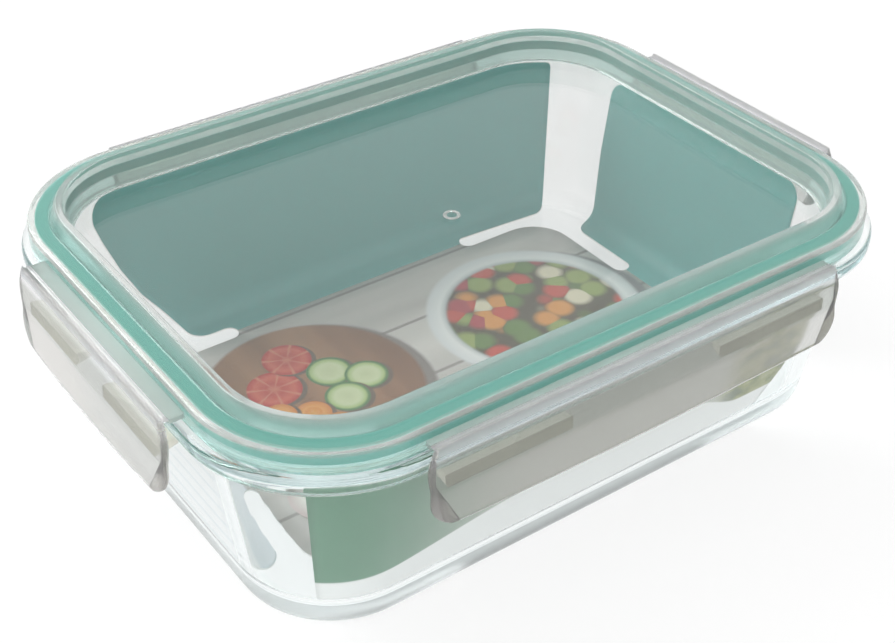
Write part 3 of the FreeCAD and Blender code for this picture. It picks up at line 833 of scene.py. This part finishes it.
def make_slice_group():
    """Where a point is on a disc: inside or not, its distance over the radius, and its turn about the middle."""
    tree, given, result = new_group("round_slice", {"Centre": None, "Radius": 0.01}, "Inside", "Share", "Turn")
    away = add_node(tree, "VectorMath", {0: given["Position"], 1: given["Centre"]}, operation="SUBTRACT")
    place = axes(tree, away["Vector"])
    x, y = place["X"], place["Y"]
    squares = maths(tree, "ADD", maths(tree, "MULTIPLY", x, x), maths(tree, "MULTIPLY", y, y))
    share = maths(tree, "DIVIDE", maths(tree, "SQRT", squares), given["Radius"])
    inside = between(tree, share, 1.0, 0.96, kind="LINEAR")
    turn = maths(tree, "DIVIDE", maths(tree, "ARCTAN2", y, x), 2 * math.pi)
    for label, socket in (("Inside", inside), ("Share", share), ("Turn", turn)):
        tree.links.new(socket, result[label])
    return tree


SLICE = make_slice_group()


def disc(tree, x, y, radius):
    """A disc on the print, from its middle and radius in mm."""
    return place_group(tree, SLICE, Centre=(x * MM, y * MM, 0), Radius=radius * MM)


def colour_ramp(tree, factor, stops, steps=False):
    """A ramp of stops (place, red, green, blue) over a factor; in steps, the colours don't blend."""
    ramp = tree.nodes.new("ShaderNodeValToRGB")
    ramp.color_ramp.interpolation = "CONSTANT" if steps else "LINEAR"
    for k, (place, *colour) in enumerate(stops):
        stop = ramp.color_ramp.elements[k] if k < 2 else ramp.color_ramp.elements.new(place)
        stop.position, stop.color = place, (*colour, 1)
    tree.links.new(factor, ramp.inputs["Fac"])
    return ramp.outputs["Color"]


def stretched_noise(tree, scale, stretch):
    """Noise on Object coordinates, stretched along an axis, as wood grain is."""
    place = add_node(tree, "Mapping", {"Vector": object_place(tree), "Scale": stretch})["Vector"]
    return add_node(tree, "TexNoise", {"Vector": place, "Scale": scale, "Detail": 4.0})["Fac"]


print("print group:", SLICE.name)

# %% [markdown]
# The picture is laid down from the bottom up, and a dark disc under each thing is its shadow.

# %% Floor print
PLANK_HALF, SEAM = 0.0135, (0.0009, 0.0004)  # metres
SPOKE_HALF, RIB = 0.0714, (0.016, 0.006)  # shares of a full turn
# Colours from the middle of a slice to its rind.
TOMATO = [(0.0, 0.62, 0.20, 0.12), (0.30, 0.50, 0.05, 0.03), (0.72, 0.62, 0.12, 0.07), (0.92, 0.48, 0.03, 0.02)]
CUCUMBER = [(0.0, 0.55, 0.62, 0.36), (0.55, 0.62, 0.70, 0.42), (0.80, 0.38, 0.52, 0.20), (0.90, 0.07, 0.20, 0.06)]
CARROT = [(0.0, 0.75, 0.38, 0.08), (0.40, 0.72, 0.27, 0.04), (0.55, 0.78, 0.36, 0.08), (1.0, 0.62, 0.20, 0.03)]
LEMON = [(0.0, 0.85, 0.80, 0.55), (0.12, 0.80, 0.66, 0.16), (0.78, 0.84, 0.72, 0.22), (0.84, 0.88, 0.86, 0.70)]
ONION = [(0.0, 0.80, 0.78, 0.72), (0.45, 0.70, 0.66, 0.62), (0.60, 0.84, 0.82, 0.76), (0.92, 0.62, 0.52, 0.50)]
# Colours, middle and radius in mm.
SLICES = (
    (TOMATO, -52, 22, 9.0), (TOMATO, -41, 33, 8.2), (CUCUMBER, -33, 20, 7.6), (CUCUMBER, -24, 12, 7.2),
    (CUCUMBER, -35, 6, 7.4), (CARROT, -48, 5, 5.8), (CARROT, -57, 10, 5.4), (CARROT, -44, -4, 5.6),
    (ONION, -62, -24, 12.5), (ONION, -38, -30, 11.0), (LEMON, -8, -34, 9.0), (LEMON, 6, -27, 8.4),
)
CHINA = [(0.80, 0.46, 0.50, 0.50), (0.86, 0.80, 0.82, 0.80), (0.96, 0.70, 0.73, 0.73)]
SALAD = [(0.0, 0.12, 0.22, 0.05), (0.20, 0.55, 0.07, 0.04), (0.38, 0.70, 0.30, 0.06),
         (0.54, 0.28, 0.36, 0.10), (0.70, 0.74, 0.68, 0.50), (0.85, 0.42, 0.05, 0.06)]


def print_planks(tree):
    """Pale wood grain along X, with a dark seam between planks: the fold of Y over the planks' width."""
    grain = colour_ramp(tree, stretched_noise(tree, 60.0, (0.12, 1.0, 1.0)),
                        [(0.35, 0.50, 0.48, 0.45), (0.65, 0.66, 0.64, 0.60)])
    seam = maths(tree, "PINGPONG", axes(tree, object_place(tree))["Y"], PLANK_HALF)
    return lay_over(tree, grain, between(tree, seam, *SEAM, kind="LINEAR"), (0.30, 0.28, 0.26, 1))


def print_board(tree, ink):
    """A round wooden board and the slices on and beside it."""
    wood = colour_ramp(tree, stretched_noise(tree, 70.0, (1.0, 0.10, 1.0)),
                       [(0.35, 0.20, 0.095, 0.045), (0.65, 0.36, 0.19, 0.095)])
    ink = lay_over(tree, ink, disc(tree, -40.5, 11.5, 37.5)["Inside"], (0.22, 0.20, 0.18, 1))
    ink = lay_over(tree, ink, disc(tree, -42, 14, 36)["Inside"], wood)
    for stops, x, y, radius in SLICES:
        ink = lay_over(tree, ink, disc(tree, x + 0.8, y - 1.0, radius * 1.04)["Inside"], (0.13, 0.09, 0.06, 1))
        here = disc(tree, x, y, radius)
        flesh = colour_ramp(tree, here["Share"], stops)
        if stops in (TOMATO, LEMON):
            spokes = maths(tree, "PINGPONG", here["Turn"], SPOKE_HALF)
            flesh = lay_over(tree, flesh, between(tree, spokes, *RIB, kind="LINEAR"), (*stops[0][1:], 1))
        ink = lay_over(tree, ink, here["Inside"], flesh)
    return ink


def print_bowl(tree, ink):
    """A white bowl of chopped salad: Voronoi cells that pick a colour each and darken towards their edges."""
    cells = add_node(tree, "TexVoronoi", {"Vector": object_place(tree), "Scale": 130.0})
    pick = add_node(tree, "SeparateColor", {"Color": cells["Color"]})["Red"]
    salad = colour_ramp(tree, pick, SALAD, steps=True)
    shade = between(tree, cells["Distance"], 0.45, 0.75, kind="LINEAR")
    salad = lay_over(tree, salad, shade, (0.07, 0.06, 0.03, 1))
    bowl = disc(tree, 42, 8, 38)
    ink = lay_over(tree, ink, disc(tree, 44, 5, 39)["Inside"], (0.26, 0.26, 0.26, 1))
    ink = lay_over(tree, ink, bowl["Inside"], colour_ramp(tree, bowl["Share"], CHINA))
    return lay_over(tree, ink, disc(tree, 42, 8, 31)["Inside"], salad)


CARD_PRINT = new_print("card_floor_print", lambda tree: print_bowl(tree, print_board(tree, print_planks(tree))))
CARD_EDGE = new_print("bare_board", plain_ink((0.90, 0.90, 0.88, 1), (0.94, 0.94, 0.92, 1)))
card_floor(CARD_PRINT, CARD_EDGE)

# %% [markdown]
# ## The card's walls
# Inside, the walls are plain teal, apart from the left one, which is pale. Outside, the long walls' print fades
# along its length and stops above the bend, where the board is bare. The short walls are striped.

# %% Wall prints
def print_stripes(tree):
    """The short walls' outside: near-white board with faint blue-grey lines along it, one every 6 mm."""
    fold = maths(tree, "PINGPONG", axes(tree, object_place(tree))["Z"], 0.003)
    line = between(tree, fold, 0.0012, 0.0003)
    return lay_over(tree, (0.96, 0.96, 0.97, 1), line, (0.76, 0.81, 0.85, 1))


BARE_RISE = 0.0065  # how much higher the bare board reaches in the wall's middle, metres
LEAVES = [(0.38, 0.10, 0.14, 0.05), (0.50, 0.30, 0.32, 0.10), (0.66, 0.52, 0.52, 0.40)]


def print_long_wall(tree):
    """The long walls' outside: green fading along the wall to a warm grey, leafy at the far end, bare at the bend."""
    place = axes(tree, object_place(tree))
    along, height = place["X"], place["Z"]
    leaves = colour_ramp(tree, stretched_noise(tree, 90.0, (1.0, 1.0, 1.6)), LEAVES)
    tint = lay_over(tree, (0.14, 0.30, 0.20, 1), between(tree, along, -0.075, -0.025), (0.55, 0.56, 0.51, 1))
    tint = lay_over(tree, tint, between(tree, along, 0.040, 0.055), leaves)
    middle = maths(tree, "SUBTRACT", between(tree, along, -0.085, -0.025), between(tree, along, 0.035, 0.055))
    lifted = maths(tree, "SUBTRACT", height, maths(tree, "MULTIPLY", middle, BARE_RISE))
    return lay_over(tree, tint, between(tree, lifted, 0.0172, 0.0162), (0.97, 0.97, 0.96, 1))


CARD_IN = new_print("teal_card_inside", plain_ink((0.085, 0.345, 0.32, 1), (0.105, 0.375, 0.35, 1)))
CARD_PALE = new_print("striped_card_outside", print_stripes)
CARD_OUT = new_print("printed_card_outside", print_long_wall)
print("wall prints:", CARD_IN.name, CARD_PALE.name, CARD_OUT.name)

# %% [markdown]
# A long wall is cut square at one end and on a slant at the other; a short wall is nearly square at both.

# %% Walls
# Heights up the face, how far the wall reaches there, and the radius of its top corner.
SLANT = ((5.0, 8.3, 13.4, 21.7, 32.6, 44.2, 51.8, 59.2), (60.0, 62.4, 65.8, 71.8, 77.4, 81.5, 83.5, 85.0), 9.0)
SQUARE = ((5.0, 59.2), (92.8, 92.8), 1.5)
SHORT = ((5.0, 12.0, 31.0, 59.2), (42.0, 42.9, 44.4, 44.7), 6.0)
LONG_WALL = (*CORE_HALF, LONG_CREASE, (SLANT, SQUARE))
SHORT_WALL = (*CORE_HALF[::-1], SHORT_CREASE, (SHORT, SHORT))
card_wall("front", 2, *LONG_WALL, CARD_IN, CARD_OUT, CARD_EDGE)
card_wall("back", 0, *LONG_WALL, CARD_IN, CARD_OUT, CARD_EDGE)
card_wall("left", 1, *SHORT_WALL, CARD_PALE, CARD_PALE, CARD_EDGE)
card_wall("right", 3, *SHORT_WALL, CARD_IN, CARD_PALE, CARD_EDGE)

# %% [markdown]
# ## Studio
# The photograph was taken on white. The floor is a white sheet that keeps the box's shadow. The light is a
# soft white sky with a darker horizon, so that edges of glass and gloss have something dark to show, and
# what is seen through the box is mostly white.

# %% Stage and sky
def make_stage():
    """A round white sheet just under the box: part of what the camera sees of it is plain white light."""
    rows = spin([(radius, -0.3) for radius in (100.0, 300.0, 700.0, 1500.0)], 96)
    floor = skin("floor_sheet", [rows[::-1]])
    middle = mesh_object("floor_middle", rows[0], [list(range(96))])
    material, tree, shader = new_finish(
        "white_floor", Base_Color=(0.96, 0.96, 0.96, 1), Roughness=0.9, Specular_IOR_Level=0.0)
    path = add_node(tree, "LightPath", {})
    through = maths(tree, "ADD", path["Is Transmission Ray"], path["Is Glossy Ray"], clamp=True)
    seen = maths(tree, "MULTIPLY_ADD", path["Is Camera Ray"], 0.8, through, clamp=True)
    mix_shaders(tree, seen, shader.outputs["BSDF"], add_node(tree, "Emission", {})["Emission"])
    for sheet in (floor, middle):
        sheet.data.materials.append(material)
        sheet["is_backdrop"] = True


def make_world():
    """White for the camera; for everything else bright overhead and darker towards the horizon."""
    world = bpy.data.worlds.new("studio")
    bpy.context.scene.world = world
    world.use_nodes = True
    tree = world.node_tree
    sky = tree.nodes["Background"]
    height = axes(tree, add_node(tree, "TexCoord", {})["Generated"])["Z"]
    shades = colour_ramp(tree, height, [(0.02, 0.18, 0.19, 0.19), (0.45, 1.0, 1.0, 1.0)])
    tree.links.new(shades, sky.inputs["Color"])
    sky.inputs["Strength"].default_value = 0.9
    white = add_node(tree, "Background", {"Color": (1, 1, 1, 1)})
    path = add_node(tree, "LightPath", {})
    deep = maths(tree, "GREATER_THAN", path["Ray Depth"], 2.5)
    straight = maths(tree, "MAXIMUM", path["Is Camera Ray"], deep)
    share = maths(tree, "MULTIPLY_ADD", path["Is Transmission Ray"], 0.85, straight, clamp=True)
    mix_shaders(tree, share, sky.outputs["Background"], white["Background"], "World Output")


make_stage()
make_world()
print("stage and sky:", bpy.context.scene.world.name)

# %% Lamps and camera
LAMP_TARGET = (0, 0, 0.03)
CAMERA_PLACE = (-0.2320, -0.3147, 0.3050)
CAMERA_RIGHT, CAMERA_UP, CAMERA_BACK = (0.8106, -0.5856, 0.0103), (0.3349, 0.4779, 0.8122), (-0.4805, -0.6548, 0.5834)
BOUNCES = 64  # light crosses many layers of glass and plastic


def add_softbox(name, place, size, watts):
    """A rectangular lamp at a place, turned towards the box, in metres."""
    lamp = bpy.data.lights.new(name, "AREA")
    lamp.shape = "RECTANGLE"
    lamp.size, lamp.size_y = size
    lamp.energy = watts
    holder = bpy.data.objects.new(name, lamp)
    bpy.context.scene.collection.objects.link(holder)
    holder.location = place
    holder.rotation_euler = (Vector(LAMP_TARGET) - Vector(place)).to_track_quat("-Z", "Y").to_euler()


def make_camera():
    """The camera that fits the photograph: 61.6 mm on a 36 mm wide sensor, about half a metre away."""
    data = bpy.data.cameras.new("photo_camera")
    data.sensor_width = 36.0
    data.lens = 61.594
    data.clip_start, data.clip_end = 0.01, 50
    camera = bpy.data.objects.new("photo_camera", data)
    bpy.context.scene.collection.objects.link(camera)
    turn = Matrix((CAMERA_RIGHT, CAMERA_UP, CAMERA_BACK)).transposed()
    camera.matrix_world = Matrix.Translation(CAMERA_PLACE) @ turn.to_4x4()
    bpy.context.scene.camera = camera


add_softbox("window_light", (-0.5, 0.9, 0.9), (0.9, 0.6), 9.0)
add_softbox("fill_light", (-0.7, -0.6, 0.8), (1.8, 1.4), 5.0)
make_camera()
bpy.context.scene.view_settings.view_transform = "Standard"
paths = bpy.context.scene.cycles
paths.max_bounces = paths.transmission_bounces = paths.glossy_bounces = BOUNCES
print("lamps:", len(bpy.data.lights), "camera:", bpy.context.scene.camera.name)

# %% Finish
made_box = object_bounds()
for label, box in (("CAD", cad_box), ("visual", made_box)):
    print(label, "box:", [round(x / MM, 1) for corner in box for x in corner])
